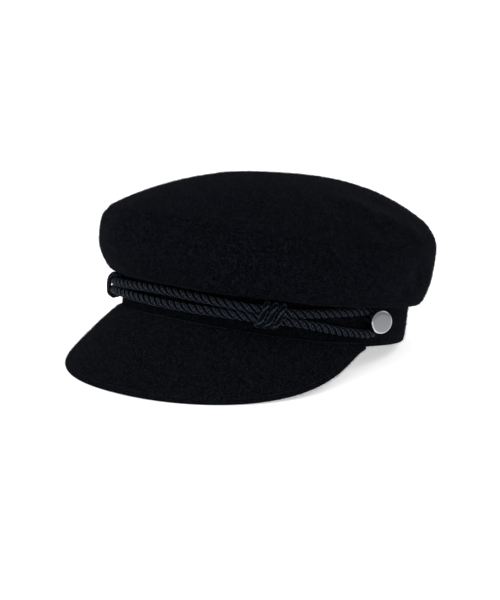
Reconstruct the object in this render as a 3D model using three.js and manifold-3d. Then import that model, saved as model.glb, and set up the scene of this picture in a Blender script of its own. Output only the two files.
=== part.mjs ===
// A sailor cap of dark wool: a domed crown on a band, a drooping peak, and a twisted cord
// with two sliding knots that loops round a metal button on each side.
// Millimetres. +Z is up, -Y is the cap's front and +X its wearer's left. Angles round the
// cap start at the middle of the front and grow toward +X.
import * as THREE from "three";
import Module from "manifold-3d";

const library = await Module();
library.setup();
const { Manifold, Mesh: ManifoldMesh } = library;

// Sizes that can be set one by one
const GAP = 0.3;
const HEAD = { halfWidth: 88, front: 98, back: 105, squareness: 2.23 };
const BAND = { height: 32, flare: 0.7, wall: 2.4, hemRound: 0.8, frontRise: 5.6 };
const CROWN = { lip: 26.9, lipRise: 2.1, side: 45.3, overhang: 18, wool: 2.2, seamTilt: 5.7, seamWave: 6.1 };
const TOP = { rise: 33, forward: -10.1, full: 2.5, seamLean: 48, seamDip: 0.9 };
const PEAK = {
  length: 64.2, thickness: 3.6, aboveHem: 4.6, spread: 88.3, droop: 50.1, curl: 3.9, tip: 6, taper: 0.4,
  full: 2.4, round: 1.54,
};
const CORD = { diameter: 5.4, height: 16.8, frontRise: 3.6, sides: 8, steps: 2 };
const KNOT = {
  diameter: 4.4, flat: 0.5, clearance: 0.7, turns: 3, pitch: 4.75, angle: 41, lean: 8, sides: 8, turnSteps: 14,
};
const BUTTON = {
  diameter: 15.4, thickness: 5.2, shank: 4.4, angle: 89.3, above: 2, tilt: 26, flange: 12, flangeWall: 1.2,
};
const REST = { hem: 1.3, peak: 0.35 };
const AROUND = 64;
const SIDE_STEPS = 12;

// Height and stand-out of the side wall: height is a share of CROWN.side above the lip, and
// the others are shares of CROWN.overhang at the front, the sides and the back.
const SIDE_ROWS = [
  { height: -0.02, front: 0.4, side: 0.42, back: 0.45 },
  { height: 0.06, front: 0.57, side: 0.71, back: 0.56 },
  { height: 0.3, front: 1.04, side: 0.87, back: 0.79 },
  { height: 0.55, front: 1.14, side: 0.89, back: 0.71 },
  { height: 0.85, front: 0.99, side: 0.76, back: 0.81 },
  { height: 1.0, front: 0.84, side: 0.6, back: 0.52 },
];

// Dents and swells: around and at are the middle (degrees, and share of the way up the side
// or out from the top's middle), wide and tall their spread, and depth a share of CROWN.wool.
const SIDE_DENTS = [
  { around: 109, at: 0.5, wide: 6, tall: 0.14, depth: 0.45 },
  { around: 101, at: 0.26, wide: 6, tall: 0.12, depth: 0.5 },
  { around: 128, at: 0.75, wide: 24, tall: 0.3, depth: -0.7 },
  { around: 70, at: 0.75, wide: 16, tall: 0.16, depth: 0.3 },
  { around: -50, at: 0.95, wide: 30, tall: 0.34, depth: -1 },
  { around: -20, at: 0.4, wide: 18, tall: 0.25, depth: 0.3 },
  { around: 200, at: 0.55, wide: 12, tall: 0.3, depth: 0.5 },
];
const TOP_DENTS = [
  { around: 73, at: 0.95, wide: 13, tall: 0.07, depth: 0.7 },
  { around: 89, at: 0.64, wide: 9, tall: 0.11, depth: -0.4 },
  { around: 102, at: 0.78, wide: 9, tall: 0.08, depth: -0.6 },
  { around: 115, at: 0.89, wide: 8, tall: 0.07, depth: -0.4 },
  { around: 113, at: 0.62, wide: 12, tall: 0.1, depth: 0.4 },
  { around: -62, at: 0.84, wide: 30, tall: 0.22, depth: -0.4 },
  { around: 180, at: 0.75, wide: 26, tall: 0.14, depth: 0.6 },
];

// Half of the cord's route: at runs from 0 at the front to 1 at the knot and 2 at the button,
// spread is how far the two strands part (0 side by side, 1 round the shank), and lift how far
// the knot raises them off the band (share of the knot's own cord and its clearance).
const STRANDS = [
  { at: 0, spread: 0.3, lift: 0 },
  { at: 0.26, spread: 0.24, lift: 0.02 },
  { at: 0.51, spread: 0.12, lift: 0.3 },
  { at: 0.76, spread: 0, lift: 0.97 },
  { at: 1, spread: 0, lift: 1 },
  { at: 1.2, spread: 0, lift: 0.97 },
  { at: 1.42, spread: 0.36, lift: 0.3 },
  { at: 1.65, spread: 0.74, lift: 0.02 },
  { at: 1.85, spread: 0.97, lift: 0 },
];

const COLOURS = { wool: 0x0e1017, cord: 0x12151b, metal: 0x9a9ca2 };

// The band's oval and points on and off it

const rad = THREE.MathUtils.degToRad;

function ovalRadius(angle) {
  const reach = Math.cos(angle) > 0 ? HEAD.front : HEAD.back;
  const across = Math.abs(Math.sin(angle) / HEAD.halfWidth) ** HEAD.squareness;
  const along = Math.abs(Math.cos(angle) / reach) ** HEAD.squareness;
  return (across + along) ** (-1 / HEAD.squareness);
}

function place(angle, radius, height) {
  return new THREE.Vector3(radius * Math.sin(angle), -radius * Math.cos(angle), height);
}

function bandOut(height) {
  return (BAND.flare * height) / BAND.height;
}

// Rows that rise toward the middle of the front and stay level behind the ears
function frontRise(size, angle) {
  return size * Math.max(Math.cos(angle), 0) ** 2;
}

function cordHeight(angle) {
  return CORD.height + frontRise(CORD.frontRise, angle);
}

function lipHeight(angle) {
  return CROWN.lip + frontRise(CROWN.lipRise, angle);
}

function outward(angle) {
  const step = 1e-3;
  const before = place(angle - step, ovalRadius(angle - step), 0);
  const along = place(angle + step, ovalRadius(angle + step), 0).sub(before);
  return new THREE.Vector3(along.y, -along.x, 0).normalize();
}

function offBand(angle, height, standOff) {
  const foot = place(angle, ovalRadius(angle) + bandOut(height), height);
  return foot.addScaledVector(outward(angle), standOff);
}

function blendRound(row, angle) {
  const ahead = Math.max(Math.cos(angle), 0) ** 2;
  const behind = Math.max(-Math.cos(angle), 0) ** 2;
  return row.side + (row.front - row.side) * ahead + (row.back - row.side) * behind;
}

function dentDepth(dents, angle, at) {
  let depth = 0;
  for (const dent of dents) {
    const turn = THREE.MathUtils.euclideanModulo(THREE.MathUtils.radToDeg(angle) - dent.around + 180, 360) - 180;
    depth += dent.depth * Math.exp(-((turn / dent.wide) ** 2) - ((at - dent.at) / dent.tall) ** 2);
  }
  return depth * CROWN.wool;
}

// Closed meshes from rows of points

function solidOf(points, faces) {
  let volume = 0;
  for (const [a, b, c] of faces) {
    volume += points[a].dot(points[b].clone().cross(points[c]));
  }
  const turned = volume < 0 ? faces.map(([a, b, c]) => [a, c, b]) : faces;
  const geometry = new THREE.BufferGeometry();
  geometry.setAttribute("position", new THREE.Float32BufferAttribute(points.flatMap((p) => p.toArray()), 3));
  geometry.setIndex(turned.flat());
  geometry.computeVertexNormals();
  return geometry;
}

function quad(a, b, c, d) {
  return [[a, b, c], [a, c, d]];
}

function tubeFaces(rings, size, closed) {
  const faces = [];
  for (let ring = 0; ring < (closed ? rings : rings - 1); ring += 1) {
    const next = (ring + 1) % rings;
    for (let side = 0; side < size; side += 1) {
      const after = (side + 1) % size;
      faces.push(...quad(ring * size + side, next * size + side, next * size + after, ring * size + after));
    }
  }
  return faces;
}

// Sections swept all the way round
function closedSweep(sections) {
  return solidOf(sections.flat(), tubeFaces(sections.length, sections[0].length, true));
}

// Sections swept from end to end, each end closed across from its first half to its second
function openSweep(sections) {
  const size = sections[0].length;
  const last = (sections.length - 1) * size;
  const faces = tubeFaces(sections.length, size, false);
  for (let rung = 0; rung + 1 < size - 1 - rung; rung += 1) {
    const far = size - 1 - rung;
    const rungFaces = rung + 1 === far - 1 ? [[rung, rung + 1, far]] : quad(rung, rung + 1, far - 1, far);
    faces.push(...rungFaces, ...rungFaces.map(([a, b, c]) => [last + a, last + c, last + b]));
  }
  return solidOf(sections.flat(), faces);
}

function roundSection(centre, axisA, axisB, radius, sides, flat) {
  const section = [];
  for (let side = 0; side < sides; side += 1) {
    const turn = (2 * Math.PI * side) / sides;
    const spoke = axisA.clone().multiplyScalar(flat * Math.cos(turn)).addScaledVector(axisB, Math.sin(turn));
    section.push(centre.clone().addScaledVector(spoke, radius));
  }
  return section;
}

function roundTheCap() {
  return Array.from({ length: AROUND }, (_, index) => (2 * Math.PI * index) / AROUND);
}

// Booleans

function toManifold(geometry) {
  const triVerts = Uint32Array.from(geometry.index.array);
  const vertProperties = Float32Array.from(geometry.attributes.position.array);
  return new Manifold(new ManifoldMesh({ numProp: 3, triVerts, vertProperties }));
}

function toGeometry(solid) {
  const mesh = solid.getMesh();
  const geometry = new THREE.BufferGeometry();
  geometry.setAttribute("position", new THREE.BufferAttribute(mesh.vertProperties, 3));
  geometry.setIndex(new THREE.BufferAttribute(mesh.triVerts, 1));
  geometry.computeVertexNormals();
  return geometry;
}

// Band

function bandSection(angle) {
  const base = ovalRadius(angle);
  const { wall, hemRound, height, flare } = BAND;
  const hem = frontRise(BAND.frontRise, angle);
  const low = hem + hemRound;
  const mid = (hem + height) / 2;
  const outline = [
    [flare, height], [bandOut(mid), mid], [bandOut(low), low], [bandOut(hem) - hemRound, hem],
    [bandOut(hem) + hemRound - wall, hem], [bandOut(low) - wall, low], [bandOut(mid) - wall, mid],
    [flare - wall, height],
  ];
  return outline.map(([out, up]) => place(angle, base + out, up));
}

function shankFrame(side) {
  const angle = side * rad(BUTTON.angle);
  const out = outward(angle).setZ(-BAND.flare / BAND.height).normalize();
  const along = new THREE.Vector3().crossVectors(new THREE.Vector3(0, 0, 1), out).normalize();
  const up = new THREE.Vector3().crossVectors(out, along);
  return new THREE.Matrix4().makeBasis(along, up, out).setPosition(offBand(angle, cordHeight(angle) + BUTTON.above, 0));
}

function shankHole(side) {
  const reach = 8 * BAND.wall;
  const radius = BUTTON.shank / 2 + GAP;
  return Manifold.cylinder(reach, radius, radius, 16, true).transform(shankFrame(side).toArray());
}

function bandGeometry() {
  const ring = toManifold(closedSweep(roundTheCap().map(bandSection)));
  return toGeometry(ring.subtract(shankHole(1)).subtract(shankHole(-1)));
}

// Crown side: from its seam on the band, out and down round the lip, and up to the top seam

function seamRise(angle, at) {
  const wave = -CROWN.seamTilt * Math.cos(angle) + CROWN.seamWave * Math.cos(2 * angle);
  return wave * Math.max(at, 0) ** 2;
}

function knotLift(angle) {
  const away = Math.abs(angle > Math.PI ? angle - 2 * Math.PI : angle) - rad(KNOT.angle);
  return 2 * GAP + KNOT.diameter * 0.3 * Math.exp(-((away / rad(11)) ** 2));
}

function sidePath(angle) {
  const lip = lipHeight(angle);
  const tucks = [BAND.height + GAP, (BAND.height + lip) / 2 + 0.6];
  const start = tucks.map((height) => new THREE.Vector2(bandOut(height) + GAP, height));
  const rows = SIDE_ROWS.map((row) => {
    const out = CROWN.overhang * blendRound(row, angle);
    return new THREE.Vector2(out, lip + (CROWN.lip - lip + CROWN.side) * row.height + seamRise(angle, row.height));
  });
  const path = new THREE.SplineCurve([...start, ...rows]).getPoints(SIDE_STEPS);
  return path.map((point, index) => {
    const at = (point.y - CROWN.lip) / CROWN.side;
    const low = index / (SIDE_STEPS / 2);
    const dent = low > 0.5 ? dentDepth(SIDE_DENTS, angle, at) : 0;
    const lift = low < 1 ? knotLift(angle) * Math.sin(Math.PI * low) ** 2 : 0;
    const height = point.y + lift;
    return new THREE.Vector2(Math.max(point.x - dent, bandOut(Math.min(height, BAND.height)) + GAP), height);
  });
}

function seamInward() {
  return new THREE.Vector2(-Math.sin(rad(TOP.seamLean)), -Math.cos(rad(TOP.seamLean)));
}

function insetPath(path, wall) {
  return path.map((point, index) => {
    if (index === path.length - 1) {
      return point.clone().addScaledVector(seamInward(), wall);
    }
    const before = path[Math.max(index - 1, 0)];
    const along = path[index + 1].clone().sub(before).normalize();
    return point.clone().add(new THREE.Vector2(-along.y, along.x).multiplyScalar(wall));
  });
}

function sideSection(angle) {
  const base = ovalRadius(angle);
  const outer = sidePath(angle);
  const inner = insetPath(outer, CROWN.wool);
  outer[outer.length - 1].addScaledVector(seamInward(), TOP.seamDip);
  return [...outer, ...inner.reverse()].map((point) => place(angle, base + point.x, point.y));
}

function crownSideGeometry() {
  return closedSweep(roundTheCap().map(sideSection));
}

// Crown top: a dome from the same seam, open below

function topPoint(angle, share, sink) {
  const seam = sidePath(angle).at(-1);
  const radius = ovalRadius(angle) + seam.x;
  const height = seam.y - seamRise(angle, 1) + seamRise(angle, share) + TOP.rise * (1 - share ** TOP.full);
  const point = place(angle, radius * share, height - dentDepth(TOP_DENTS, angle, share) - sink);
  point.y += TOP.forward * -1 * (1 - share ** 2);
  return point;
}

function domeGrid(shares, sink) {
  return shares.map((share) => roundTheCap().map((angle) => topPoint(angle, share, sink)));
}

function crownTopGeometry() {
  const shares = [0.985, 0.95, 0.88, 0.78, 0.66, 0.52, 0.36, 0.18];
  const rimOuter = roundTheCap().map((angle) => seamPoint(angle, TOP.seamDip));
  const rimInner = roundTheCap().map((angle) => seamPoint(angle, CROWN.wool));
  const outer = domeGrid(shares, 0);
  const inner = domeGrid(shares.slice(1), CROWN.wool * 1.12);
  const rows = [...outer.reverse(), rimOuter, rimInner, ...inner];
  const points = rows.flat();
  const faces = tubeFaces(rows.length, AROUND, false);
  const peak = points.push(topPoint(0, 0, 0)) - 1;
  const pit = points.push(topPoint(0, 0, CROWN.wool * 1.12)) - 1;
  const last = (rows.length - 1) * AROUND;
  for (let step = 0; step < AROUND; step += 1) {
    const next = (step + 1) % AROUND;
    faces.push([peak, step, next], [pit, last + next, last + step]);
  }
  return solidOf(points, faces);
}

function seamPoint(angle, depth) {
  const seam = sidePath(angle).at(-1).addScaledVector(seamInward(), depth);
  const across = new THREE.Vector2(seamInward().y, -seamInward().x).multiplyScalar(GAP);
  return place(angle, ovalRadius(angle) + seam.x + across.x, seam.y + across.y);
}

// Peak: top face out to a round edge and back underneath

function peakLength(share) {
  return PEAK.tip + (PEAK.length - PEAK.tip) * (1 - Math.abs(share) ** PEAK.full) ** PEAK.round;
}

function peakSection(share) {
  const angle = share * rad(PEAK.spread);
  const out = outward(angle);
  const length = peakLength(share);
  const thickness = Math.min(PEAK.thickness, PEAK.taper * length);
  const half = thickness / 2;
  const top = offBand(angle, PEAK.aboveHem + frontRise(BAND.frontRise, angle), GAP);
  const at = (along, sink) => {
    const chord = rad(PEAK.droop + PEAK.curl * (along / length - 1));
    const reach = Math.cos(chord) * along - Math.sin(chord) * sink;
    const drop = Math.sin(chord) * along + Math.cos(chord) * sink;
    return top.clone().addScaledVector(out, reach).setZ(top.z - drop);
  };
  const steps = [0, 0.22, 0.45, 0.68, 0.88];
  const face = steps.map((step) => at(step * (length - half), 0));
  const edge = [0, 45, 90, 135, 180].map((turn) => {
    return at(length - half + Math.sin(rad(turn)) * half, half - half * Math.cos(rad(turn)));
  });
  const clear = thickness * Math.tan(rad(PEAK.droop)) + GAP;
  const under = steps.toReversed().map((step) => at(clear + step * (length - half - clear), thickness));
  const root = top.clone().setZ(top.z - (0.85 * thickness) / Math.cos(rad(PEAK.droop)));
  return [...face, ...edge, ...under, root];
}

function peakGeometry() {
  const steps = 36;
  const shares = Array.from({ length: steps + 1 }, (_, index) => (2 * index) / steps - 1);
  return openSweep(shares.map(peakSection));
}

// Cord: two strands round the front that meet in a loop round each button's shank

function strandGap(spread) {
  const beside = CORD.diameter + GAP;
  const round = BUTTON.shank + 3 * GAP + CORD.diameter + 2 * BUTTON.above;
  return beside + spread * (round - beside);
}

// The knot's cord is squashed against the strands, so its wraps are wider than they are deep
function wrapDepth() {
  return KNOT.diameter * KNOT.flat;
}

// How far a knot lifts the strands off the band
function knotRise() {
  return wrapDepth() + KNOT.clearance;
}

function strandPoint(row, side, level) {
  const rise = row.lift * knotRise();
  const before = rad(KNOT.angle) * Math.min(row.at, 1);
  const angle = before + rad(BUTTON.angle - KNOT.angle) * Math.max(row.at - 1, 0);
  const height = cordHeight(angle) + (level * strandGap(row.spread)) / 2;
  return offBand(side * angle, height, GAP + CORD.diameter / 2 + rise);
}

function loopPoints(side) {
  const radius = strandGap(1) / 2;
  const degrees = [90, 60, 30, 0, -30, -60, -90];
  return degrees.map((turn) => {
    const run = (radius * Math.cos(rad(turn))) / ovalRadius(rad(BUTTON.angle));
    const angle = side * (rad(BUTTON.angle) + run);
    const height = cordHeight(rad(BUTTON.angle)) + radius * Math.sin(rad(turn));
    return offBand(angle, height, GAP + CORD.diameter / 2);
  });
}

function cordRoute() {
  const outbound = STRANDS.map((row) => strandPoint(row, 1, 1));
  const homeRight = STRANDS.map((row) => strandPoint(row, 1, -1)).reverse();
  const awayLeft = STRANDS.slice(1).map((row) => strandPoint(row, -1, -1));
  const homeLeft = STRANDS.slice(1).map((row) => strandPoint(row, -1, 1)).reverse();
  const points = [...outbound, ...loopPoints(1), ...homeRight, ...awayLeft, ...loopPoints(-1).reverse(), ...homeLeft];
  return points;
}

function tubeSections(curve, count, closed, radius, sides, facing, flat) {
  const sections = [];
  for (let step = 0; step < (closed ? count : count + 1); step += 1) {
    const share = step / count;
    const centre = curve.getPoint(share);
    const along = curve.getTangent(share);
    const lean = facing(centre, share);
    const axisA = lean.addScaledVector(along, -lean.dot(along)).normalize();
    const axisB = new THREE.Vector3().crossVectors(along, axisA);
    sections.push(roundSection(centre, axisA, axisB, radius, sides, flat));
  }
  return sections;
}

function cordGeometry() {
  const fromMiddle = (centre) => new THREE.Vector3(centre.x, centre.y, 0);
  const route = cordRoute();
  const curve = new THREE.CatmullRomCurve3(route, true, "centripetal");
  const rings = route.length * CORD.steps;
  return closedSweep(tubeSections(curve, rings, true, CORD.diameter / 2, CORD.sides, fromMiddle, 1));
}

// Knots: a coil round both strands, closed behind them against the band

class KnotCoil extends THREE.Curve {
  constructor(side) {
    super();
    this.angle = side * rad(KNOT.angle);
    this.standOff = GAP + knotRise() + CORD.diameter / 2;
    this.half = strandGap(0) / 2;
    this.reach = knotRise() - wrapDepth() / 2 + CORD.diameter / 2;
  }

  // A point of the coil, or with no share of the reach a point of its axis beside it
  at(share, reach) {
    const turn = 2 * Math.PI * KNOT.turns * share + Math.PI;
    const rise = reach * (Math.sin(turn) * this.reach + this.half * Math.tanh(3 * Math.sin(turn)));
    const run = KNOT.pitch * KNOT.turns * (share - 0.5) + rise * Math.tan(rad(KNOT.lean));
    const angle = this.angle + run / ovalRadius(this.angle);
    return offBand(angle, cordHeight(angle) + rise, this.standOff + reach * Math.cos(turn) * this.reach);
  }

  getPoint(share) {
    return this.at(share, 1);
  }
}

function knotGeometry(side) {
  const coil = new KnotCoil(side);
  const steps = KNOT.turns * KNOT.turnSteps;
  const fromAxis = (centre, share) => centre.clone().sub(coil.at(share, 0));
  return openSweep(tubeSections(coil, steps, false, KNOT.diameter / 2, KNOT.sides, fromAxis, KNOT.flat));
}

// Buttons: a low dome tilted toward the front on a shank that passes through the band

function lathe(outline) {
  const points = outline.map(([radius, height]) => new THREE.Vector2(radius, height));
  const turned = new THREE.LatheGeometry(points, 24).rotateX(Math.PI / 2);
  turned.deleteAttribute("normal");
  turned.deleteAttribute("uv");
  return toManifold(weld(turned));
}

function weld(geometry) {
  const seen = new Map();
  const points = [];
  const remap = [];
  const position = geometry.attributes.position;
  for (let index = 0; index < position.count; index += 1) {
    const point = new THREE.Vector3().fromBufferAttribute(position, index);
    const key = point.toArray().map((value) => Math.round(value * 1e4)).join();
    if (!seen.has(key)) {
      seen.set(key, points.push(point) - 1);
    }
    remap.push(seen.get(key));
  }
  const faces = [];
  for (let corner = 0; corner < geometry.index.count; corner += 3) {
    const face = [0, 1, 2].map((step) => remap[geometry.index.getX(corner + step)]);
    if (new Set(face).size === 3) {
      faces.push(face);
    }
  }
  return solidOf(points, faces);
}

function buttonGeometry(side) {
  const radius = BUTTON.diameter / 2;
  const shank = BUTTON.shank / 2;
  const tilt = rad(BUTTON.tilt);
  const seat = CORD.diameter + 2 * GAP + 0.8 * radius * Math.sin(tilt);
  const head = lathe([
    [0, 0], [radius * 0.8, 0], [radius * 0.95, BUTTON.thickness * 0.16], [radius, BUTTON.thickness * 0.38],
    [radius * 0.94, BUTTON.thickness * 0.62], [radius * 0.78, BUTTON.thickness * 0.82],
    [radius * 0.42, BUTTON.thickness * 0.96], [0, BUTTON.thickness],
  ]);
  const bow = (BUTTON.flange / 2) ** 2 / (2 * HEAD.halfWidth);
  const inside = -(BAND.wall + GAP + bow);
  const post = lathe([
    [0, inside - BUTTON.flangeWall], [BUTTON.flange / 2, inside - BUTTON.flangeWall],
    [BUTTON.flange / 2, inside - 0.2], [shank, inside], [shank, seat + BUTTON.thickness * 0.3],
    [0, seat + BUTTON.thickness * 0.3],
  ]);
  const turn = new THREE.Matrix4().makeRotationY(-side * tilt).setPosition(0, 0, seat);
  const whole = post.add(head.transform(turn.toArray()));
  return toGeometry(whole.transform(shankFrame(side).toArray()));
}

// The cap leans back until its peak and the back of its hem stand on one floor

function lowest(geometry, tilt) {
  const position = geometry.attributes.position;
  let low = Infinity;
  for (let index = 0; index < position.count; index += 1) {
    const height = -position.getY(index) * Math.sin(tilt) + position.getZ(index) * Math.cos(tilt);
    low = Math.min(low, height);
  }
  return low;
}

function restTilt(band, peak) {
  let flat = 0;
  let steep = rad(40);
  for (let step = 0; step < 40; step += 1) {
    const middle = (flat + steep) / 2;
    const peakFloor = lowest(peak, middle) + REST.peak;
    const hemFloor = lowest(band, middle) + REST.hem;
    [flat, steep] = peakFloor < hemFloor ? [middle, steep] : [flat, middle];
  }
  return flat;
}

// Cloth that would reach below the floor is pressed flat on it
function pressFlat(geometry, tilt, floor) {
  const up = new THREE.Vector3(0, -Math.sin(tilt), Math.cos(tilt));
  const position = geometry.attributes.position;
  for (let index = 0; index < position.count; index += 1) {
    const point = new THREE.Vector3().fromBufferAttribute(position, index);
    const height = point.dot(up);
    if (height < floor) {
      point.addScaledVector(up, floor - height);
      position.setXYZ(index, point.x, point.y, point.z);
    }
  }
}

function piece(name, geometry, colour, roughness, metalness) {
  const material = new THREE.MeshStandardMaterial({ color: colour, roughness, metalness });
  const mesh = new THREE.Mesh(geometry, material);
  mesh.name = name;
  return mesh;
}

const band = bandGeometry();
const peak = peakGeometry();
const tilt = restTilt(band, peak);
const floor = lowest(band, tilt) + REST.hem;
pressFlat(band, tilt, floor);
pressFlat(peak, tilt, floor);

const cap = new THREE.Group();
cap.add(
  piece("crown_top", crownTopGeometry(), COLOURS.wool, 0.95, 0),
  piece("crown_side", crownSideGeometry(), COLOURS.wool, 0.95, 0),
  piece("band", band, COLOURS.wool, 0.95, 0),
  piece("visor", peak, COLOURS.wool, 0.95, 0),
  piece("cord", cordGeometry(), COLOURS.cord, 0.4, 0),
  piece("knot_left", knotGeometry(1), COLOURS.cord, 0.4, 0),
  piece("knot_right", knotGeometry(-1), COLOURS.cord, 0.4, 0),
  piece("button_left", buttonGeometry(1), COLOURS.metal, 0.35, 1),
  piece("button_right", buttonGeometry(-1), COLOURS.metal, 0.35, 1),
);
cap.rotation.x = -tilt;

const object = new THREE.Group();
object.add(cap);
object.updateMatrixWorld(true);
const box = new THREE.Box3().setFromObject(object, true);
const middle = box.getCenter(new THREE.Vector3());
cap.position.set(-middle.x, -middle.y, -box.min.z);
object.updateMatrixWorld(true);

export default object;
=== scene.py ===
"""A dark wool sailor cap: soft crown, band, drooping peak, twisted cord with two knots, and metal buttons."""
import math
from bisect import bisect

import bmesh
import bpy
from mathutils import Matrix, Vector, kdtree, noise
from mathutils.bvhtree import BVHTree


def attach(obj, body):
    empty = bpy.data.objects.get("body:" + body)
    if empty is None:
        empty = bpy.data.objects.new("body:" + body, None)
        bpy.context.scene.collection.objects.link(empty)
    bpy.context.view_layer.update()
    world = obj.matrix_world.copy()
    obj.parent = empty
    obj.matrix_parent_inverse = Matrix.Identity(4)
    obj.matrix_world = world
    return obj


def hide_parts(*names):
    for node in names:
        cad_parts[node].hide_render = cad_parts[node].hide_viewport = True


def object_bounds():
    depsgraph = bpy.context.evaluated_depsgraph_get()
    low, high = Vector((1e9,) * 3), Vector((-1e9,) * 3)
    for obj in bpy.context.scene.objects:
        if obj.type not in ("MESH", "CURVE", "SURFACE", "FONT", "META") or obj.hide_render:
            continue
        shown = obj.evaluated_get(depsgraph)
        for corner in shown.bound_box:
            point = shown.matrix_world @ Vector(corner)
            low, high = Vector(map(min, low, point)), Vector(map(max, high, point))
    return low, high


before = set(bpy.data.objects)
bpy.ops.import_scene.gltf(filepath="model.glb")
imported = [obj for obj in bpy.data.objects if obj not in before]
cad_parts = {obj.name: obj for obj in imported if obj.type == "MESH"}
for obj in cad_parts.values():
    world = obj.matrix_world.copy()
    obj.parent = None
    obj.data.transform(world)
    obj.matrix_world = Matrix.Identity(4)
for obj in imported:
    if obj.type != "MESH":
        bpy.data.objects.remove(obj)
cad_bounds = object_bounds()

MM = 0.001
PER_METRE = 1000

# Sizes of the source, in millimetres and degrees. Lay is the length of one turn of the cord's plies.
# Square is how abruptly a knot's coil passes from strand to strand, and snug draws its outer side in.
HEAD = {"half_width": 88, "front": 98, "back": 105, "squareness": 2.23}
BAND = {"height": 32, "wall": 2.4, "flare": 0.7, "front_rise": 5.6}
PEAK = {
    "length": 64.2, "above_hem": 4.6, "spread": 88.3, "droop": 50.1, "curl": 3.9, "tip": 6, "full": 2.4,
    "round": 1.54,
}
CORD = {"diameter": 5.4, "height": 16.8, "front_rise": 3.6, "lay": 16.5}
KNOT = {
    "diameter": 4.4, "flat": 0.5, "clearance": 0.7, "turns": 3, "pitch": 4.75, "angle": 41, "lean": 8,
    "square": 3, "snug": 0.88,
}
BUTTON = {
    "diameter": 15.4, "thickness": 5.2, "shank": 4.4, "angle": 89.3, "above": 2, "tilt": 26, "flange": 12,
    "wall": 1.2,
}
GAP = 0.3
REST = {"tilt": 9.862, "back": 6.76, "up": 16.55}

# The button's look: sides of its round, how far its tilted head stands off the cord as a share of its
# diameter, and in millimetres how deep the post goes into the head and how far the flange's edge drops
TURNED = {"sides": 64, "stand": 0.4, "sunk": 1.2, "drop": 0.2}

# The button's bright rim starts at a share of the head's radius and is full one fade further out; it is a
# polished edge, and middle and slope make it brighter low down as a painted reflection of the floor.
# A point belongs to the head if it lies above face, a share of the head's thickness, or above back, in
# millimetres, and further out than clear, a share of its diameter; the rest is the post, painted dark as
# shade.
RIM = {"starts": 0.88, "fade": 0.06, "middle": 0.6, "slope": 0.8, "face": 0.9, "back": -0.01, "clear": 0.3}

# How the CAD shells are merged to quads, in metres and degrees, and how often each is subdivided
QUADS = {"merge": 2e-6, "sliver": 1e-6, "face": 50, "shape": 80}
LEVELS = {"crown_top": 2, "crown_side": 2, "band": 1, "visor": 2}

# Height of the crown's middle above the hem in millimetres, before it leans back
CROWN_MIDDLE = 45

# Unevenness of the crown above floor, in metres: two wave lengths, read on a sphere round its middle
RIPPLE = {"floor": 0.002, "sphere": 0.1, "long": 0.045, "short": 0.018, "short_share": 0.4, "depth": 0.0009}

# The seam round the top, in metres; the shares are how far each rim moves over to the other piece
SEAM = {"reach": 0.0018, "lift": 0.0001, "side_share": 0.5, "top_share": 1.3}

# Loose ends of the nap, in millimetres; lift is how steeply they stand, shortest a share of the length
NAP = {"length": 1.4, "width": 0.16, "lift": 1.1, "shortest": 0.5, "seed": 11}
NAP_COUNTS = {"crown_top": 64000, "crown_side": 58000, "band": 24000, "visor": 36000}

# The nap's lowest roots and tips above the floor, in metres
NAP_FLOOR = {"root": 0.0015, "tip": 0.0002}

# Rows of stitches: distance from the peak's edge or root in millimetres, pitch and thread in metres
STITCH = {"edge": 3.6, "root": 2.4, "pitch": 0.0031, "edge_thread": 0.0005, "root_thread": 0.0006}

# A stitch's half length as a share of the pitch, and as shares of the thread its half width, its half
# height and how far its middle stands out
BEAD = {"length": 0.34, "width": 0.5, "height": 0.42, "stand": 0.16}

# The yarns of a cord as shares of its width; round is what a flattened cord keeps of a yarn's radius
PLY = {"count": 3, "radius": 0.247, "off_centre": 0.253, "round": 0.65, "bevel": 3}

# Steps of the drawn lines, and the distance of the cord's rings in millimetres
STEPS = {"peak": 400, "stitches": 120, "last_stitch": 116, "route": 24, "knot_turn": 48}
CORD_STEP = 0.85

# The photograph's view; x and y are where the cap's middle lies in its pixels
CAMERA = {"azimuth": 40, "elevation": 12.19, "distance": 1.3, "pixels_per_mm": 1.482, "x": 255.4, "y": 263.1}
PICTURE = {"width": 500, "height": 600}
SENSOR = 36

# Sockets of a colour mix node
MIX_FACTOR = 0
MIX_A = 6
MIX_B = 7
MIX_RESULT = 2

# Lines that find the folds, in millimetres: how far the top reaches past the band, and where they start
FOLD_LINE = {"overhang": 14, "above": 200, "outside": 250}

# Folds of the soft crown: around in degrees, out as a share of the top's reach or up in millimetres
# on the side, wide and rise in millimetres
TOP_FOLDS = [
    {"around": 84, "out": 0.6, "wide": 10, "rise": 1.5},
    {"around": 96, "out": 0.71, "wide": 8, "rise": 2},
    {"around": 107, "out": 0.81, "wide": 8, "rise": 2},
    {"around": 115, "out": 0.91, "wide": 8, "rise": 1.5},
    {"around": 72, "out": 0.9, "wide": 14, "rise": -2},
    {"around": 90, "out": 0.84, "wide": 9, "rise": -1.6},
    {"around": 78, "out": 0.7, "wide": 9, "rise": -1},
    {"around": 118, "out": 0.66, "wide": 14, "rise": -1},
    {"around": 30, "out": 0.75, "wide": 22, "rise": -0.8},
    {"around": -20, "out": 0.8, "wide": 18, "rise": 0.8},
]
SIDE_FOLDS = [
    {"around": -50, "up": 68, "wide": 26, "rise": 3},
    {"around": 130, "up": 36, "wide": 18, "rise": -2.4},
    {"around": -52, "up": 48, "wide": 18, "rise": 1.2},
    {"around": 108, "up": 48, "wide": 9, "rise": -1.3},
    {"around": 100, "up": 38, "wide": 8, "rise": -1.3},
    {"around": 120, "up": 44, "wide": 10, "rise": 0.9},
    {"around": 70, "up": 60, "wide": 14, "rise": -0.8},
    {"around": 20, "up": 50, "wide": 20, "rise": 0.8},
    {"around": -10, "up": 62, "wide": 16, "rise": -0.7},
]

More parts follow.
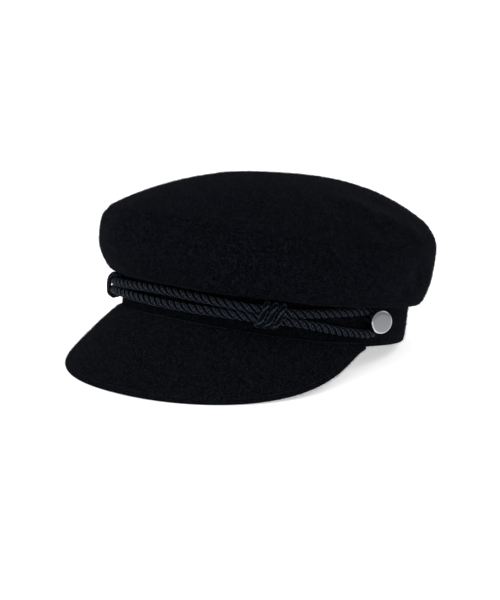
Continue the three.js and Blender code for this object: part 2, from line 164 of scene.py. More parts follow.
# Half of the cord's route: at runs from 0 at the front to 1 at the knot and 2 at the button
STRANDS = [
    {"at": 0, "spread": 0.3, "lift": 0},
    {"at": 0.26, "spread": 0.24, "lift": 0.02},
    {"at": 0.51, "spread": 0.12, "lift": 0.3},
    {"at": 0.76, "spread": 0, "lift": 0.97},
    {"at": 1, "spread": 0, "lift": 1},
    {"at": 1.2, "spread": 0, "lift": 0.97},
    {"at": 1.42, "spread": 0.36, "lift": 0.3},
    {"at": 1.65, "spread": 0.74, "lift": 0.02},
    {"at": 1.85, "spread": 0.97, "lift": 0},
]

# The button head's outline as shares of its radius and thickness, from its face over the rim to the flat back
BUTTON_OUTLINE = [
    {"out": 0, "up": 1}, {"out": 0.6, "up": 0.99}, {"out": 0.84, "up": 0.965}, {"out": 0.92, "up": 0.92},
    {"out": 0.965, "up": 0.83}, {"out": 0.99, "up": 0.68}, {"out": 1, "up": 0.45}, {"out": 0.98, "up": 0.24},
    {"out": 0.92, "up": 0.07}, {"out": 0.82, "up": 0}, {"out": 0, "up": 0},
]

cap_place = (
    Matrix.Scale(MM, 4)
    @ Matrix.Translation((0, REST["back"], REST["up"]))
    @ Matrix.Rotation(-math.radians(REST["tilt"]), 4, "X")
)


# The cap's own lines, in millimetres before it leans back


def front_rise(size, angle):
    return size * max(math.cos(angle), 0) ** 2


def oval_radius(angle):
    reach = HEAD["front"] if math.cos(angle) > 0 else HEAD["back"]
    across = abs(math.sin(angle) / HEAD["half_width"]) ** HEAD["squareness"]
    along = abs(math.cos(angle) / reach) ** HEAD["squareness"]
    return (across + along) ** (-1 / HEAD["squareness"])


def on_oval(angle, radius, height):
    return Vector((radius * math.sin(angle), -radius * math.cos(angle), height))


def outward(angle):
    step = 1e-3
    before = on_oval(angle - step, oval_radius(angle - step), 0)
    after = on_oval(angle + step, oval_radius(angle + step), 0)
    along = after - before
    return Vector((along.y, -along.x, 0)).normalized()


def off_band(angle, height, stand_off):
    radius = oval_radius(angle) + BAND["flare"] * height / BAND["height"]
    return on_oval(angle, radius, height) + outward(angle) * stand_off


def peak_length(share):
    return PEAK["tip"] + (PEAK["length"] - PEAK["tip"]) * (1 - abs(share) ** PEAK["full"]) ** PEAK["round"]


def peak_point(share, along):
    angle = math.radians(share * PEAK["spread"])
    root = off_band(angle, PEAK["above_hem"] + front_rise(BAND["front_rise"], angle), GAP)
    slope = math.radians(PEAK["droop"] + PEAK["curl"] * (along / peak_length(share) - 1))
    point = root + outward(angle) * math.cos(slope) * along
    point.z -= math.sin(slope) * along
    return point


def cord_height(angle):
    return CORD["height"] + front_rise(CORD["front_rise"], angle)


def strand_gap(spread):
    beside = CORD["diameter"] + GAP
    round_shank = BUTTON["shank"] + 3 * GAP + CORD["diameter"] + 2 * BUTTON["above"]
    return beside + spread * (round_shank - beside)


def wrap_depth():
    return KNOT["diameter"] * KNOT["flat"]


def knot_rise():
    return wrap_depth() + KNOT["clearance"]


def strand_point(row, side, level):
    rise = row["lift"] * knot_rise()
    before = KNOT["angle"] * min(row["at"], 1)
    angle = math.radians(before + (BUTTON["angle"] - KNOT["angle"]) * max(row["at"] - 1, 0))
    height = cord_height(angle) + level * strand_gap(row["spread"]) / 2
    return off_band(side * angle, height, GAP + CORD["diameter"] / 2 + rise)


def loop_points(side):
    """Half a turn of the cord round a button's shank."""
    radius = strand_gap(1) / 2
    button = math.radians(BUTTON["angle"])
    points = []
    for degrees in range(90, -91, -30):
        turn = math.radians(degrees)
        angle = side * (button + radius * math.cos(turn) / oval_radius(button))
        height = cord_height(button) + radius * math.sin(turn)
        points.append(off_band(angle, height, GAP + CORD["diameter"] / 2))
    return points


def cord_route():
    out_left = [strand_point(row, 1, 1) for row in STRANDS]
    home_left = [strand_point(row, 1, -1) for row in reversed(STRANDS)]
    out_right = [strand_point(row, -1, -1) for row in STRANDS[1:]]
    home_right = [strand_point(row, -1, 1) for row in reversed(STRANDS[1:])]
    return out_left + loop_points(1) + home_left + out_right + loop_points(-1)[::-1] + home_right


def knot_point(side, share, reach):
    """A point of a knot's coil, or with no reach a point of its axis beside it."""
    middle = side * math.radians(KNOT["angle"])
    turn = 2 * math.pi * KNOT["turns"] * share + math.pi
    swing = knot_rise() - wrap_depth() / 2 + CORD["diameter"] / 2
    passing = math.tanh(KNOT["square"] * math.sin(turn))
    rise = reach * (math.sin(turn) * swing + strand_gap(0) / 2 * passing)
    run = KNOT["pitch"] * KNOT["turns"] * (share - 0.5) + rise * math.tan(math.radians(KNOT["lean"]))
    angle = middle + run / oval_radius(middle)
    snug_turn = math.cos(turn) * (KNOT["snug"] if math.cos(turn) > 0 else 1)
    stand_off = GAP + knot_rise() + CORD["diameter"] / 2 + reach * snug_turn * swing
    return off_band(angle, cord_height(angle) + rise, stand_off)


def glide(points, per_gap):
    """Points on a smooth closed curve through all of these, per_gap to each stretch."""
    count = len(points)
    line = []
    for index in range(count):
        before, start, end, after = (points[(index + step) % count] for step in (-1, 0, 1, 2))
        t0 = (start - before).length ** 0.5
        t1 = (end - start).length ** 0.5
        t2 = (after - end).length ** 0.5
        pull_start = ((start - before) / t0 - (end - before) / (t0 + t1) + (end - start) / t1) * t1
        pull_end = ((end - start) / t1 - (after - start) / (t1 + t2) + (after - end) / t2) * t1
        for step in range(per_gap):
            t = step / per_gap
            line.append(
                start * (2 * t**3 - 3 * t**2 + 1)
                + pull_start * (t**3 - 2 * t**2 + t)
                + end * (3 * t**2 - 2 * t**3)
                + pull_end * (t**3 - t**2)
            )
    return line


def even_steps(line, step, closed):
    """The same line with its points about one step apart, and its whole length."""
    track = line + [line[0]] if closed else line
    lengths = [0.0]
    for start, end in zip(track, track[1:]):
        lengths.append(lengths[-1] + (end - start).length)
    count = round(lengths[-1] / step)
    points = []
    at = 0
    for index in range(count if closed else count + 1):
        want = min(lengths[-1] * index / count, lengths[-1])
        while at < len(lengths) - 2 and lengths[at + 1] < want:
            at += 1
        share = (want - lengths[at]) / max(lengths[at + 1] - lengths[at], 1e-9)
        points.append(track[at].lerp(track[at + 1], share))
    return points, lengths[-1]


# Making pieces


def show(name, mesh, node, material):
    """Adds a piece to the cap, in place of a CAD part if a node is given."""
    piece = bpy.data.objects.new(name, mesh)
    bpy.context.scene.collection.objects.link(piece)
    mesh.materials.clear()
    mesh.materials.append(material)
    mesh.polygons.foreach_set("use_smooth", [True] * len(mesh.polygons))
    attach(piece, "root")
    if node:
        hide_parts(node)


def baked(piece):
    """The mesh that a piece and its modifiers, or a curve, come to."""
    bpy.context.view_layer.update()
    graph = bpy.context.evaluated_depsgraph_get()
    mesh = bpy.data.meshes.new_from_object(piece.evaluated_get(graph))
    source = piece.data
    bpy.data.objects.remove(piece)
    if isinstance(source, bpy.types.Curve):
        bpy.data.curves.remove(source)
    return mesh


def smooth_cloth(node):
    """A CAD shell's merged copy in quads, rounded by subdivision."""
    shell = bmesh.new()
    shell.from_mesh(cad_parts[node].data)
    bmesh.ops.remove_doubles(shell, verts=shell.verts, dist=QUADS["merge"])
    bmesh.ops.dissolve_degenerate(shell, dist=QUADS["sliver"], edges=shell.edges)
    bmesh.ops.join_triangles(
        shell,
        faces=shell.faces,
        angle_face_threshold=math.radians(QUADS["face"]),
        angle_shape_threshold=math.radians(QUADS["shape"]),
    )
    mesh = bpy.data.meshes.new(node + "_cloth")
    shell.to_mesh(mesh)
    shell.free()
    piece = bpy.data.objects.new(node + "_cloth", mesh)
    bpy.context.scene.collection.objects.link(piece)
    rounding = piece.modifiers.new("rounding", "SUBSURF")
    rounding.levels = LEVELS[node]
    rounding.render_levels = LEVELS[node]
    return baked(piece)


def ripple(mesh, middle):
    """Soft unevenness of worn cloth: both faces of the wall move together, away from the cap's middle."""
    for vertex in mesh.vertices:
        if vertex.co.z < RIPPLE["floor"]:
            continue
        away = (vertex.co - middle).normalized()
        place = middle + away * RIPPLE["sphere"]
        short_wave = noise.noise(place / RIPPLE["short"] + Vector((7, 3, 5)))
        wave = noise.noise(place / RIPPLE["long"]) + RIPPLE["short_share"] * short_wave
        vertex.co += away * wave * RIPPLE["depth"]
    mesh.update()


def surface_of(mesh):
    return BVHTree.FromPolygons(
        [vertex.co for vertex in mesh.vertices], [tuple(face.vertices) for face in mesh.polygons]
    )


def snug(mesh, neighbour, middle, share):
    """Draws the rim of one cloth to the next piece and out, so that a sewn seam closes to a soft crease."""
    surface = surface_of(neighbour)
    for vertex in mesh.vertices:
        place, _, _, distance = surface.find_nearest(vertex.co, SEAM["reach"])
        if place:
            near = 1 - (distance / SEAM["reach"]) ** 2
            away = (vertex.co - middle).normalized()
            vertex.co = vertex.co.lerp(place, share * near) + away * SEAM["lift"] * near
    mesh.update()


def fold(cloths, middle, folds):
    """Swells and dents of the soft crown, each round the point that a line from outside meets first."""
    points = []
    faces = []
    for mesh in cloths:
        faces += [tuple(len(points) + index for index in face.vertices) for face in mesh.polygons]
        points += [vertex.co.copy() for vertex in mesh.vertices]
    surface = BVHTree.FromPolygons(points, faces)
    for row in folds:
        angle = math.radians(row["around"])
        if "out" in row:
            radius = row["out"] * (oval_radius(angle) + FOLD_LINE["overhang"])
            start = cap_place @ on_oval(angle, radius, FOLD_LINE["above"])
            aim = cap_place.to_3x3() @ Vector((0, 0, -1))
        else:
            start = cap_place @ on_oval(angle, FOLD_LINE["outside"], row["up"])
            aim = cap_place.to_3x3() @ on_oval(angle, -1, 0)
        centre = surface.ray_cast(start, aim.normalized())[0]
        for mesh in cloths:
            for vertex in mesh.vertices:
                near = math.exp(-((PER_METRE * (vertex.co - centre).length / row["wide"]) ** 2))
                vertex.co += (vertex.co - middle).normalized() * row["rise"] * MM * near
    for mesh in cloths:
        mesh.update()


def nap_fibres(node, mesh, middle, material):
    """Loose ends of the nap: fine blades that stand off the outside of the cloth."""
    mesh.calc_loop_triangles()
    outside = []
    areas = [0.0]
    for triangle in mesh.loop_triangles:
        faces_out = (triangle.center - middle).dot(triangle.normal) > 0
        if faces_out and triangle.center.z > NAP_FLOOR["root"]:
            outside.append(triangle)
            areas.append(areas[-1] + triangle.area)
    noise.seed_set(NAP["seed"])
    points = []
    for _ in range(NAP_COUNTS[node]):
        triangle = outside[min(bisect(areas, noise.random() * areas[-1]), len(outside)) - 1]
        first, second, third = (mesh.vertices[index].co for index in triangle.vertices)
        along, across = noise.random(), noise.random()
        if along + across > 1:
            along, across = 1 - along, 1 - across
        root = first + (second - first) * along + (third - first) * across
        lean = noise.random_unit_vector()
        lean = (lean - triangle.normal * lean.dot(triangle.normal)).normalized()
        reach = NAP["length"] * (NAP["shortest"] + noise.random())
        tip = root + (lean + triangle.normal * noise.random() * NAP["lift"]) * reach * MM
        tip.z = max(tip.z, NAP_FLOOR["tip"])
        side = lean.cross(triangle.normal) * NAP["width"] / 2 * MM
        points += [root - side, root + side, tip]
    blades = bpy.data.meshes.new(node + "_nap")
    blades.from_pydata(points, [], [(index, index + 1, index + 2) for index in range(0, len(points), 3)])
    show(node + "_nap", blades, None, material)


def mark_distance(mesh, name, line):
    """Stores how far each point of the mesh is from a line, in millimetres."""
    tree = kdtree.KDTree(len(line))
    for index, point in enumerate(line):
        tree.insert(point, index)
    tree.balance()
    mark = mesh.attributes.new(name, "FLOAT", "POINT")
    mark.data.foreach_set("value", [PER_METRE * tree.find(vertex.co)[2] for vertex in mesh.vertices])


def sew(name, mesh, line, width, material):
    """Stitches along a line on a mesh, each a small flattened bead of thread."""
    surface = surface_of(mesh)
    points, _ = even_steps(line, STITCH["pitch"], False)
    stitches = bmesh.new()
    for start, end in zip(points, points[1:]):
        place, normal, _, _ = surface.find_nearest((start + end) / 2)
        along = (end - start).normalized()
        side = normal.cross(along).normalized()
        turn = Matrix((along, side, normal)).transposed().to_4x4()
        reach = BEAD["length"] * STITCH["pitch"]
        size = Matrix.Diagonal((reach, width * BEAD["width"], width * BEAD["height"], 1))
        spot = Matrix.Translation(place + normal * width * BEAD["stand"])
        bmesh.ops.create_icosphere(stitches, subdivisions=2, radius=1, matrix=spot @ turn @ size)
    thread_mesh = bpy.data.meshes.new(name)
    stitches.to_mesh(thread_mesh)
    stitches.free()
    show(name, thread_mesh, None, material)


def lay_plies(name, centres, leans, length, closed, width, flat, node, material):
    """Plies twisted along a line of centres, each a round yarn; flat is the coil's depth over its width."""
    turns = length / CORD["lay"]
    if closed:
        turns = round(turns)
    curve = bpy.data.curves.new(name, "CURVE")
    curve.dimensions = "3D"
    curve.bevel_depth = PLY["radius"] * width * MM * (PLY["round"] + (1 - PLY["round"]) * flat)
    curve.bevel_resolution = PLY["bevel"]
    curve.use_fill_caps = not closed
    count = len(centres)
    tree = kdtree.KDTree(PLY["count"] * count)
    crests = []
    for ply in range(PLY["count"]):
        yarn = curve.splines.new("POLY")
        yarn.points.add(count - 1)
        yarn.use_cyclic_u = closed
        for index, centre in enumerate(centres):
            before = centres[(index - 1) % count] if closed or index else centre
            after = centres[(index + 1) % count] if closed or index < count - 1 else centre
            along = (after - before).normalized()
            lean = leans[index]
            lean = (lean - along * lean.dot(along)).normalized()
            across = along.cross(lean)
            turn = 2 * math.pi * (turns * index / (count if closed else count - 1) + ply / PLY["count"])
            swing = lean * math.cos(turn) * flat + across * math.sin(turn)
            place = cap_place @ (centre + swing * PLY["off_centre"] * width)
            yarn.points[index].co = (*place, 1)
            tree.insert(place, len(crests))
            crests.append((place, (cap_place.to_3x3() @ swing).normalized()))
    tree.balance()
    rope = bpy.data.objects.new(name, curve)
    bpy.context.scene.collection.objects.link(rope)
    mesh = baked(rope)
    # The crest attribute places each ply's painted highlight line.
    mark = mesh.attributes.new("crest", "FLOAT", "POINT")
    for vertex, value in zip(mesh.vertices, mark.data):
        place, out = crests[tree.find(vertex.co)[1]]
        value.value = (vertex.co - place).normalized().dot(out)
    show(name, mesh, node, material)


# Materials


def link(tree, start, start_socket, end, end_socket):
    tree.links.new(start.outputs[start_socket], end.inputs[end_socket])


def add(tree, kind, **values):
    node = tree.nodes.new(kind)
    for name, value in values.items():
        setattr(node, name, value)
    return node


def new_group(name, inputs, outputs):
    group = bpy.data.node_groups.new(name, "ShaderNodeTree")
    for label, kind in inputs:
        group.interface.new_socket(label, in_out="INPUT", socket_type=kind)
    for label in outputs:
        group.interface.new_socket(label, in_out="OUTPUT", socket_type="NodeSocketFloat")
    return group, group.nodes.new("NodeGroupInput"), group.nodes.new("NodeGroupOutput")


def put(node, values):
    for socket, value in values.items():
        node.inputs[socket].default_value = value


def colour_mix(tree, first=None, second=None):
    """A mix of two colours, each given here or linked to its socket later."""
    node = add(tree, "ShaderNodeMix", data_type="RGBA")
    for socket, colour in ((MIX_A, first), (MIX_B, second)):
        if colour:
            node.inputs[socket].default_value = (*colour, 1)
    return node


def object_noise(tree, values):
    place = add(tree, "ShaderNodeTexCoord")
    texture = add(tree, "ShaderNodeTexNoise")
    put(texture, values)
    link(tree, place, "Object", texture, "Vector")
    return texture


def height_bump(tree, source, socket, strength, distance):
    bump = add(tree, "ShaderNodeBump")
    put(bump, {"Strength": strength, "Distance": distance})
    link(tree, source, socket, bump, "Height")
    return bump


def new_material(name, values):
    material = bpy.data.materials.new(name)
    material.use_nodes = True
    shader = material.node_tree.nodes["Principled BSDF"]
    put(shader, values)
    return material, material.node_tree, shader


def wool_nap():
    """Short matted fibres: a tone for the colour and a height for the bump."""
    inputs = [
        ("Place", "NodeSocketVector"),
        ("Fibre Scale", "NodeSocketFloat"),
        ("Clump Scale", "NodeSocketFloat"),
    ]
    group, given, result = new_group("wool_nap", inputs, ["Tone", "Height"])
    fibre = add(group, "ShaderNodeTexNoise")
    put(fibre, {"Detail": 4, "Roughness": 0.62, "Distortion": 1.6})
    clump = add(group, "ShaderNodeTexNoise")
    put(clump, {"Detail": 3, "Distortion": 0.6})
    for texture, scale in ((fibre, "Fibre Scale"), (clump, "Clump Scale")):
        link(group, given, "Place", texture, "Vector")
        link(group, given, scale, texture, "Scale")
    tone = add(group, "ShaderNodeMix", data_type="FLOAT")
    put(tone, {"Factor": 0.15})
    link(group, fibre, "Fac", tone, "A")
    link(group, clump, "Fac", tone, "B")
    spread = add(group, "ShaderNodeMapRange")
    put(spread, {"From Min": 0.41, "From Max": 0.61})
    link(group, tone, "Result", spread, "Value")
    link(group, spread, "Result", result, "Tone")
    link(group, tone, "Result", result, "Height")
    return group


def line_at():
    """0 where a distance has a given value, rising to 1 at a given width to both sides of it."""
    inputs = [("Distance", "NodeSocketFloat"), ("Where", "NodeSocketFloat"), ("Width", "NodeSocketFloat")]
    group, given, result = new_group("pressed_line", inputs, ["Height"])
    off = add(group, "ShaderNodeMath", operation="SUBTRACT")
    link(group, given, "Distance", off, 0)
    link(group, given, "Where", off, 1)
    size = add(group, "ShaderNodeMath", operation="ABSOLUTE")
    link(group, off, 0, size, 0)
    rise = add(group, "ShaderNodeMapRange", interpolation_type="SMOOTHSTEP")
    link(group, size, 0, rise, "Value")
    link(group, given, "Width", rise, "From Max")
    link(group, rise, "Result", result, "Height")
    return group


nap_group = wool_nap()
line_group = line_at()


def marked_line(tree, mark, where, width):
    """The line group on one of the mesh's attributes."""
    distance = add(tree, "ShaderNodeAttribute", attribute_name=mark)
    line = add(tree, "ShaderNodeGroup", node_tree=line_group)
    put(line, {"Where": where, "Width": width})
    link(tree, distance, "Fac", line, "Distance")
    return line


def wool(name, dark, light, lines=()):
    """Matt cloth; lines are rows pressed in it, each with its attribute, distance and width."""
    sheen = {"Sheen Weight": 0.022, "Sheen Roughness": 0.3, "Sheen Tint": (0.75, 0.8, 1, 1)}
    material, tree, shader = new_material(name, {"Roughness": 0.93, "Specular IOR Level": 0.004, **sheen})
    place = add(tree, "ShaderNodeTexCoord")
    nap = add(tree, "ShaderNodeGroup", node_tree=nap_group)
    put(nap, {"Fibre Scale": 1200, "Clump Scale": 330})
    link(tree, place, "Object", nap, "Place")
    colour = colour_mix(tree, dark, light)
    link(tree, nap, "Tone", colour, MIX_FACTOR)
    link(tree, colour, MIX_RESULT, shader, "Base Color")
    bump = height_bump(tree, nap, "Height", strength=0.55, distance=0.0006)
    for mark, where, width in lines:
        row = marked_line(tree, mark, where, width)
        press = height_bump(tree, row, "Height", strength=1, distance=0.0007)
        link(tree, bump, "Normal", press, "Normal")
        bump = press
    link(tree, bump, "Normal", shader, "Normal")
    return material


def silky_yarn():
    """Dark plies with one painted highlight, a fine bright line of colour, along the crest of each."""
    values = {"Specular IOR Level": 0.01, "Sheen Weight": 0.004, "Sheen Roughness": 0.4}
    material, tree, shader = new_material("cord_yarn", values)
    fibre = object_noise(tree, {"Scale": 2600, "Detail": 3})
    colour = colour_mix(tree, (0.0014, 0.0017, 0.0028), (0.0045, 0.0056, 0.0085))
    link(tree, fibre, "Fac", colour, MIX_FACTOR)
    # A painted highlight: a fine bright line of colour along the crest of each ply, in the colour mixed in
    # below.
    painted_highlight = marked_line(tree, "crest", where=0.82, width=0.06)
    glint = add(tree, "ShaderNodeMapRange")
    put(glint, {"From Min": 1, "From Max": 0})
    link(tree, painted_highlight, "Height", glint, "Value")
    lit = colour_mix(tree, second=(0.105, 0.131, 0.172))
    link(tree, glint, "Result", lit, MIX_FACTOR)
    link(tree, colour, MIX_RESULT, lit, MIX_A)
    link(tree, lit, MIX_RESULT, shader, "Base Color")
    rough = add(tree, "ShaderNodeMapRange")
    put(rough, {"To Min": 0.34, "To Max": 0.52})
    link(tree, fibre, "Fac", rough, "Value")
    link(tree, rough, "Result", shader, "Roughness")
    bump = height_bump(tree, fibre, "Fac", strength=0.35, distance=0.0002)
    link(tree, bump, "Normal", shader, "Normal")
    return material


def satin_metal():
    """Metal whose rim attribute is 0 on the face, up to 1 on the polished rim, whose brightness there is
    partly a painted reflection, and -1 on the post, which is painted dark as shade.
    """
    material, tree, shader = new_material("button_metal", {"Metallic": 1})
    grain = object_noise(tree, {"Scale": 900, "Detail": 3})
    colour = colour_mix(tree, (0.19, 0.192, 0.2), (0.24, 0.242, 0.25))
    link(tree, grain, "Fac", colour, MIX_FACTOR)
    rim = add(tree, "ShaderNodeAttribute", attribute_name="rim")
    head = add(tree, "ShaderNodeMath", operation="ADD", use_clamp=True)
    put(head, {1: 1})
    link(tree, rim, "Fac", head, 0)
    # The post under the head is painted near black as shade.
    shade = colour_mix(tree, first=(0.006, 0.006, 0.007))
    link(tree, head, 0, shade, MIX_FACTOR)
    link(tree, colour, MIX_RESULT, shade, MIX_B)
    # The polished rim is bright, with a painted reflection that makes it brighter low down.
    polish_and_painted_reflection = colour_mix(tree, second=(0.9, 0.9, 0.91))
    link(tree, rim, "Fac", polish_and_painted_reflection, MIX_FACTOR)
    link(tree, shade, MIX_RESULT, polish_and_painted_reflection, MIX_A)
    link(tree, polish_and_painted_reflection, MIX_RESULT, shader, "Base Color")
    rough = add(tree, "ShaderNodeMapRange")
    put(rough, {"To Min": 0.3, "To Max": 0.42})
    link(tree, grain, "Fac", rough, "Value")
    smooth = add(tree, "ShaderNodeMix", data_type="FLOAT", clamp_factor=True)
    put(smooth, {"B": 0.14})
    link(tree, rim, "Fac", smooth, "Factor")
    link(tree, rough, "Result", smooth, "A")
    link(tree, smooth, "Result", shader, "Roughness")
    bump = height_bump(tree, grain, "Fac", strength=0.12, distance=0.0001)
    link(tree, bump, "Normal", shader, "Normal")
    return material


crown_wool = wool("crown_wool", dark=(0.0004, 0.0006, 0.0011), light=(0.0046, 0.0056, 0.0082))
band_wool = wool("band_wool", dark=(0.0004, 0.0006, 0.0011), light=(0.0045, 0.0055, 0.0079))
peak_wool = wool(
    "peak_wool",
    dark=(0.0005, 0.0007, 0.0012),
    light=(0.0056, 0.0067, 0.0094),
    lines=[("edge_mm", STITCH["edge"], 0.9), ("root_mm", STITCH["root"], 0.8)],
)
fibres = wool("nap_fibres", dark=(0.0015, 0.002, 0.003), light=(0.024, 0.0265, 0.033))
thread = wool("stitch_thread", dark=(0.006, 0.009, 0.014), light=(0.013, 0.019, 0.028))
yarn = silky_yarn()
metal = satin_metal()

# Crown, band and peak

crown_middle = cap_place @ Vector((0, 0, CROWN_MIDDLE))
top_mesh = smooth_cloth("crown_top")
side_mesh = smooth_cloth("crown_side")
for cloth in (top_mesh, side_mesh):
    ripple(cloth, crown_middle)
fold((top_mesh, side_mesh), crown_middle, TOP_FOLDS + SIDE_FOLDS)
snug(side_mesh, top_mesh, crown_middle, SEAM["side_share"])
snug(top_mesh, side_mesh, crown_middle, SEAM["top_share"])
show("crown_top_cloth", top_mesh, "crown_top", crown_wool)
show("crown_side_cloth", side_mesh, "crown_side", crown_wool)
nap_fibres("crown_top", top_mesh, crown_middle, fibres)
nap_fibres("crown_side", side_mesh, crown_middle, fibres)

band_mesh = smooth_cloth("band")
show("band_cloth", band_mesh, "band", band_wool)
nap_fibres("band", band_mesh, crown_middle, fibres)

edge_line = []
root_line = []
for step in range(-STEPS["peak"], STEPS["peak"] + 1):
    share = step / STEPS["peak"]
    root_line.append(cap_place @ peak_point(share, 0))
    edge_line.append(cap_place @ peak_point(share, peak_length(share)))
peak_mesh = smooth_cloth("visor")
mark_distance(peak_mesh, "edge_mm", edge_line)
mark_distance(peak_mesh, "root_mm", root_line)
show("visor_cloth", peak_mesh, "visor", peak_wool)
nap_fibres("visor", peak_mesh, crown_middle, fibres)

edge_stitches = []
root_stitches = []
for step in range(-STEPS["last_stitch"], STEPS["last_stitch"] + 1):
    share = step / STEPS["stitches"]
    edge_stitches.append(cap_place @ peak_point(share, peak_length(share) - STITCH["edge"]))
    root_stitches.append(cap_place @ peak_point(share, STITCH["root"]))
sew("visor_edge_stitches", peak_mesh, edge_stitches, STITCH["edge_thread"], thread)
sew("visor_root_stitches", peak_mesh, root_stitches, STITCH["root_thread"], thread)

# Cord and knots

centres, length = even_steps(glide(cord_route(), STEPS["route"]), CORD_STEP, True)
leans = [Vector((centre.x, centre.y, 0)) for centre in centres]
lay_plies("cord_plies", centres, leans, length, True, CORD["diameter"] + GAP, 1, "cord", yarn)

for side, node in ((1, "knot_left"), (-1, "knot_right")):
    steps = KNOT["turns"] * STEPS["knot_turn"]
    coil = [knot_point(side, step / steps, 1) for step in range(steps + 1)]
    axis = [knot_point(side, step / steps, 0) for step in range(steps + 1)]
    leans = [point - beside for point, beside in zip(coil, axis)]
    length = sum((end - start).length for start, end in zip(coil, coil[1:]))
    width = KNOT["diameter"] + GAP
    lay_plies(node + "_plies", coil, leans, length, False, width, KNOT["flat"], node, yarn)

# Buttons


def button_stand(side):
    """A button's place on the band, with Z out along its post."""
    angle = side * math.radians(BUTTON["angle"])
    out = outward(angle)
    out.z = -BAND["flare"] / BAND["height"]
    out.normalize()
    along = Vector((0, 0, 1)).cross(out).normalized()
    up = out.cross(along)
    stand = Matrix((along, up, out)).transposed().to_4x4()
    stand.translation = off_band(angle, cord_height(angle) + BUTTON["above"], 0)
    return stand


def spin_outline(turned, outline, place):
    """Turns an outline round Z and moves what it makes to its place."""
    corners = [turned.verts.new((radius, 0, height)) for radius, height in outline]
    edges = [turned.edges.new(pair) for pair in zip(corners, corners[1:])]
    bmesh.ops.spin(
        turned,
        geom=corners + edges,
        cent=(0, 0, 0),
        axis=(0, 0, 1),
        angle=2 * math.pi,
        steps=TURNED["sides"],
        use_merge=True,
    )
    fresh = [vertex for vertex in turned.verts if not vertex.tag]
    bmesh.ops.transform(turned, matrix=place, verts=fresh)
    for vertex in fresh:
        vertex.tag = True


def rim_share(place):
    """The rim attribute at a point, given from the head's own base."""
    far = place.xy.length
    on_face = place.z > RIM["face"] * BUTTON["thickness"]
    on_side = place.z > RIM["back"] and far > RIM["clear"] * BUTTON["diameter"]
    # Points off the head belong to the post, which is painted dark as shade.
    if not (on_face or on_side):
        return -1
    # The rim's share: a polished edge, brighter low down as a painted reflection of the floor.
    rim = (far / (BUTTON["diameter"] / 2) - RIM["starts"]) / RIM["fade"]
    return min(max(rim, 0), 1) * (RIM["middle"] - RIM["slope"] * place.y / BUTTON["diameter"])


for side, node in ((1, "button_left"), (-1, "button_right")):
    radius = BUTTON["diameter"] / 2
    flange = BUTTON["flange"] / 2
    shank = BUTTON["shank"] / 2
    tilt = math.radians(BUTTON["tilt"])
    seat = CORD["diameter"] + 2 * GAP + TURNED["stand"] * BUTTON["diameter"] * math.sin(tilt)
    inside = -(BAND["wall"] + GAP + flange**2 / (2 * HEAD["half_width"]))
    head_place = Matrix.Translation((0, 0, seat)) @ Matrix.Rotation(-side * tilt, 4, "Y")
    head_outline = [(row["out"] * radius, row["up"] * BUTTON["thickness"]) for row in BUTTON_OUTLINE]
    post_outline = [
        (0, inside - BUTTON["wall"]),
        (flange, inside - BUTTON["wall"]),
        (flange, inside - TURNED["drop"]),
        (shank, inside),
        (shank, seat + TURNED["sunk"]),
        (0, seat + TURNED["sunk"]),
    ]
    turned = bmesh.new()
    spin_outline(turned, head_outline, head_place)
    spin_outline(turned, post_outline, Matrix.Identity(4))
    bmesh.ops.remove_doubles(turned, verts=turned.verts, dist=1e-4)
    bmesh.ops.recalc_face_normals(turned, faces=turned.faces)
    from_head = head_place.inverted()
    rims = [rim_share(from_head @ vertex.co) for vertex in turned.verts]
    bmesh.ops.transform(turned, matrix=cap_place @ button_stand(side), verts=turned.verts)
    button_mesh = bpy.data.meshes.new(node + "_metal")
    turned.to_mesh(button_mesh)
    turned.free()
    rim_mark = button_mesh.attributes.new("rim", "FLOAT", "POINT")
    rim_mark.data.foreach_set("value", rims)
    show(node + "_metal", button_mesh, node, metal)

# Floor, light and camera

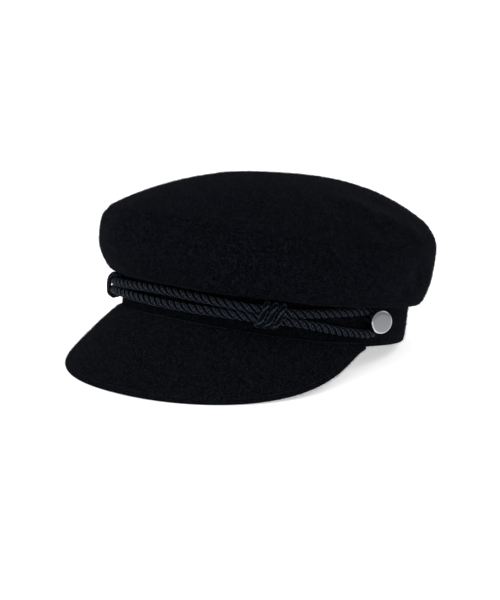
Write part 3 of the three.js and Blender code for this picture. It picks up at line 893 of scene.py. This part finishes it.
floor_mesh = bpy.data.meshes.new("floor")
floor_sheet = bmesh.new()
bmesh.ops.create_grid(floor_sheet, x_segments=1, y_segments=1, size=9)
floor_sheet.to_mesh(floor_mesh)
floor_sheet.free()
floor = bpy.data.objects.new("floor", floor_mesh)
bpy.context.scene.collection.objects.link(floor)
matt = {"Base Color": (0.93, 0.93, 0.935, 1), "Roughness": 0.9, "Specular IOR Level": 0.1}
pale, _, _ = new_material("pale_floor", {**matt, "Emission Color": (1, 1, 1, 1), "Emission Strength": 0.55})
floor_mesh.materials.append(pale)

sky = bpy.data.worlds.new("studio")
sky.use_nodes = True
bpy.context.scene.world = sky
air = sky.node_tree
where = add(air, "ShaderNodeTexCoord")
axes = add(air, "ShaderNodeSeparateXYZ")
link(air, where, "Generated", axes, "Vector")
glow = add(air, "ShaderNodeMapRange")
put(glow, {"To Min": 0.3, "To Max": 1})
link(air, axes, "Z", glow, "Value")
link(air, glow, "Result", air.nodes["Background"], "Strength")
put(air.nodes["Background"], {"Color": (1, 1, 1, 1)})


def softbox(name, place, size, power):
    light = bpy.data.lights.new(name, "AREA")
    light.shape = "SQUARE"
    light.size = size
    light.energy = power
    lamp = bpy.data.objects.new(name, light)
    lamp.location = place
    lamp.rotation_euler = Vector(place).to_track_quat("Z", "Y").to_euler()
    bpy.context.scene.collection.objects.link(lamp)


softbox("softbox_left", place=(-1.3, -1.1, 1.6), size=1.4, power=22)
softbox("softbox_back", place=(0.9, 1.4, 1.5), size=1.2, power=12)

low, high = (Vector(corner) for corner in cad_bounds)
azimuth = math.radians(CAMERA["azimuth"])
elevation = math.radians(CAMERA["elevation"])
level = math.cos(elevation)
away = Vector((math.sin(azimuth) * level, -math.cos(azimuth) * level, math.sin(elevation)))
lens = bpy.data.cameras.new("camera")
lens.sensor_fit = "HORIZONTAL"
lens.sensor_width = SENSOR
lens.lens = CAMERA["pixels_per_mm"] * CAMERA["distance"] * PER_METRE * SENSOR / PICTURE["width"]
lens.shift_x = (PICTURE["width"] / 2 - CAMERA["x"]) / PICTURE["width"]
lens.shift_y = (CAMERA["y"] - PICTURE["height"] / 2) / PICTURE["width"]
camera = bpy.data.objects.new("camera", lens)
camera.location = (low + high) / 2 + away * CAMERA["distance"]
camera.rotation_euler = away.to_track_quat("Z", "Y").to_euler()
bpy.context.scene.collection.objects.link(camera)
bpy.context.scene.camera = camera
bpy.context.scene.view_settings.view_transform = "Standard"
